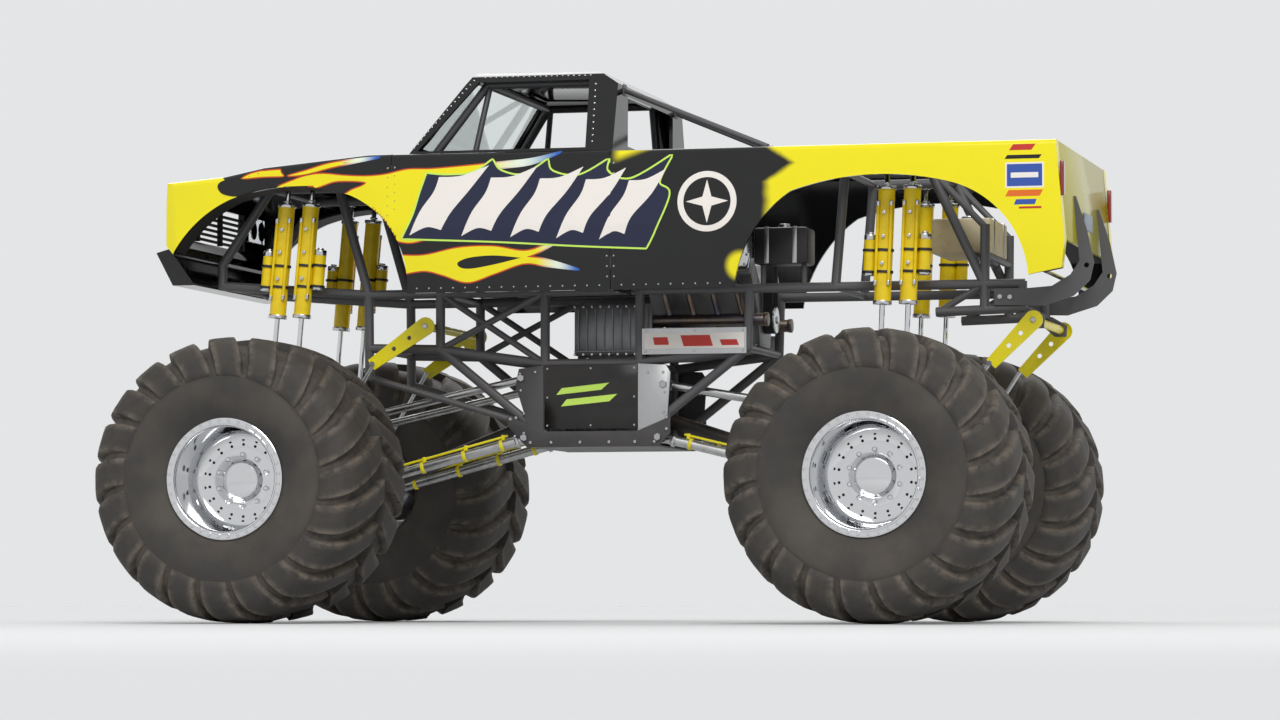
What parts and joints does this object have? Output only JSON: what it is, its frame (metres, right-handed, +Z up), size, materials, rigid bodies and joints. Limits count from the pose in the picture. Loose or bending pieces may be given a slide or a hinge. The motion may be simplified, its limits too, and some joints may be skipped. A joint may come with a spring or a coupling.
{
  "type": "monster truck",
  "caption": "Four-wheel-drive, four-wheel-steer show truck on huge lugged tyres, with a tube frame, a mid-mounted engine and a light pickup body.",
  "frame": {"origin": "on the floor under the middle of the truck's length and width", "axes": "+X towards the truck's nose, +Y to the driver's left, +Z up"},
  "size_m": [5.718, 3.822, 3.3],
  "materials": {
    "tyre_rubber": "matt, dusty in the grooves",
    "wheel_alloy": "polished",
    "knuckle_steel": "satin black",
    "axle_paint": "satin black, dusty",
    "barrel_black": "gloss",
    "rod_steel": "bright",
    "frame_grey": "mid-grey powder coat, satin",
    "plate_black": "gloss black",
    "plate_silver": "satin",
    "hoop_yellow": "satin",
    "shock_yellow": "gloss powder coat",
    "chrome": "bright",
    "link_steel": "bright zinc",
    "engine_cast": "cast, satin",
    "engine_bright": "polished",
    "shaft_steel": "satin black",
    "body_paint": "gloss black with yellow nose, tail and flames",
    "gate_paint": "gloss olive yellow",
    "bumper_black": "gloss",
    "trim_black": "matt",
    "glass": "clear polycarbonate",
    "lamp_glass": "clear",
    "cage_black": "satin black",
    "seat_red": "dark red, woven",
    "tank_cream": "cream, satin",
    "tank_black": "satin black"
  },
  "bodies": {
    "truck": {"axle_housings": "axle_paint", "bed_shell": "body_paint", "blower": "engine_bright", "cab_cage": "cage_black", "cab_shell": "body_paint", "centre_frame": "frame_grey", "centre_panels": "plate_black", "cylinder_heads": "engine_cast", "dash_panel": "trim_black", "driveshafts": "shaft_steel", "engine_block": "engine_cast", "engine_guards": "plate_silver", "floor_pan": "plate_black", "front_bumper": "bumper_black", "front_clip": "body_paint", "front_frame": "frame_grey", "fuel_cell": "tank_cream", "gearbox": "engine_cast", "grille": "trim_black", "headlamps": "lamp_glass", "intake_hat": "engine_bright", "link_bars": "frame_grey", "oil_tank": "tank_black", "rear_frame": "frame_grey", "rear_hoops": "hoop_yellow", "seat": "seat_red", "shock_bodies": "shock_yellow", "shock_shafts": "chrome", "side_plates": "plate_black", "steer_barrels": "barrel_black", "steering_wheel": "trim_black", "sway_bars": "hoop_yellow", "sway_links": "link_steel", "tailgate": "gate_paint", "transfer_case": "engine_cast", "valve_covers": "engine_bright", "wheel_housings": "trim_black", "windscreen": "glass"},
    "knuckle_front_left": {"knuckle_front_left": "knuckle_steel"},
    "wheel_front_left": {"tyre_front_left": "tyre_rubber", "rim_front_left": "wheel_alloy"},
    "knuckle_front_right": {"knuckle_front_right": "knuckle_steel"},
    "wheel_front_right": {"tyre_front_right": "tyre_rubber", "rim_front_right": "wheel_alloy"},
    "knuckle_rear_left": {"knuckle_rear_left": "knuckle_steel"},
    "wheel_rear_left": {"tyre_rear_left": "tyre_rubber", "rim_rear_left": "wheel_alloy"},
    "knuckle_rear_right": {"knuckle_rear_right": "knuckle_steel"},
    "wheel_rear_right": {"tyre_rear_right": "tyre_rubber", "rim_rear_right": "wheel_alloy"},
    "tie_rod_front": {"tie_rod_front": "rod_steel"},
    "steer_rod_front": {"steer_rod_front": "rod_steel"},
    "tie_rod_rear": {"tie_rod_rear": "rod_steel"},
    "steer_rod_rear": {"steer_rod_rear": "rod_steel"}
  },
  "joints": [
    {"name": "steer_front_left", "type": "hinge", "parent": "truck", "child": "knuckle_front_left", "pos_m": [2.021, 0.93, 0.838], "axis": [0, 0, 1], "range_deg": [-30, 30]},
    {"name": "roll_front_left", "type": "hinge", "parent": "knuckle_front_left", "child": "wheel_front_left", "pos_m": [2.021, 1.365, 0.838], "axis": [0, 1, 0], "continuous": true},
    {"name": "steer_front_right", "type": "hinge", "parent": "truck", "child": "knuckle_front_right", "pos_m": [2.021, -0.93, 0.838], "axis": [0, 0, 1], "range_deg": [-30, 30]},
    {"name": "roll_front_right", "type": "hinge", "parent": "knuckle_front_right", "child": "wheel_front_right", "pos_m": [2.021, -1.365, 0.838], "axis": [0, 1, 0], "continuous": true},
    {"name": "tie_front", "type": "hinge", "parent": "knuckle_front_left", "child": "tie_rod_front", "pos_m": [2.221, 0.93, 0.9325], "axis": [0, 0, 1], "range_deg": [-30, 30]},
    {"name": "cylinder_front", "type": "slide", "parent": "truck", "child": "steer_rod_front", "axis": [0, 1, 0], "range_m": [-0.105, 0.105]},
    {"name": "steer_rear_left", "type": "hinge", "parent": "truck", "child": "knuckle_rear_left", "pos_m": [-1.759, 0.93, 0.838], "axis": [0, 0, 1], "range_deg": [-25, 25]},
    {"name": "roll_rear_left", "type": "hinge", "parent": "knuckle_rear_left", "child": "wheel_rear_left", "pos_m": [-1.759, 1.365, 0.838], "axis": [0, 1, 0], "continuous": true},
    {"name": "steer_rear_right", "type": "hinge", "parent": "truck", "child": "knuckle_rear_right", "pos_m": [-1.759, -0.93, 0.838], "axis": [0, 0, 1], "range_deg": [-25, 25]},
    {"name": "roll_rear_right", "type": "hinge", "parent": "knuckle_rear_right", "child": "wheel_rear_right", "pos_m": [-1.759, -1.365, 0.838], "axis": [0, 1, 0], "continuous": true},
    {"name": "tie_rear", "type": "hinge", "parent": "knuckle_rear_left", "child": "tie_rod_rear", "pos_m": [-1.959, 0.93, 0.9325], "axis": [0, 0, 1], "range_deg": [-25, 25]},
    {"name": "cylinder_rear", "type": "slide", "parent": "truck", "child": "steer_rod_rear", "axis": [0, 1, 0], "range_m": [-0.088, 0.088]}
  ],
  "couplings": [
    {"joint": "steer_front_right", "follows": "steer_front_left", "ratio": 1},
    {"joint": "tie_front", "follows": "steer_front_left", "ratio": -1},
    {"joint": "cylinder_front", "follows": "steer_front_left", "m_per_rad": 0.2},
    {"joint": "steer_rear_right", "follows": "steer_rear_left", "ratio": 1},
    {"joint": "tie_rear", "follows": "steer_rear_left", "ratio": -1},
    {"joint": "cylinder_rear", "follows": "steer_rear_left", "m_per_rad": -0.2}
  ]
}
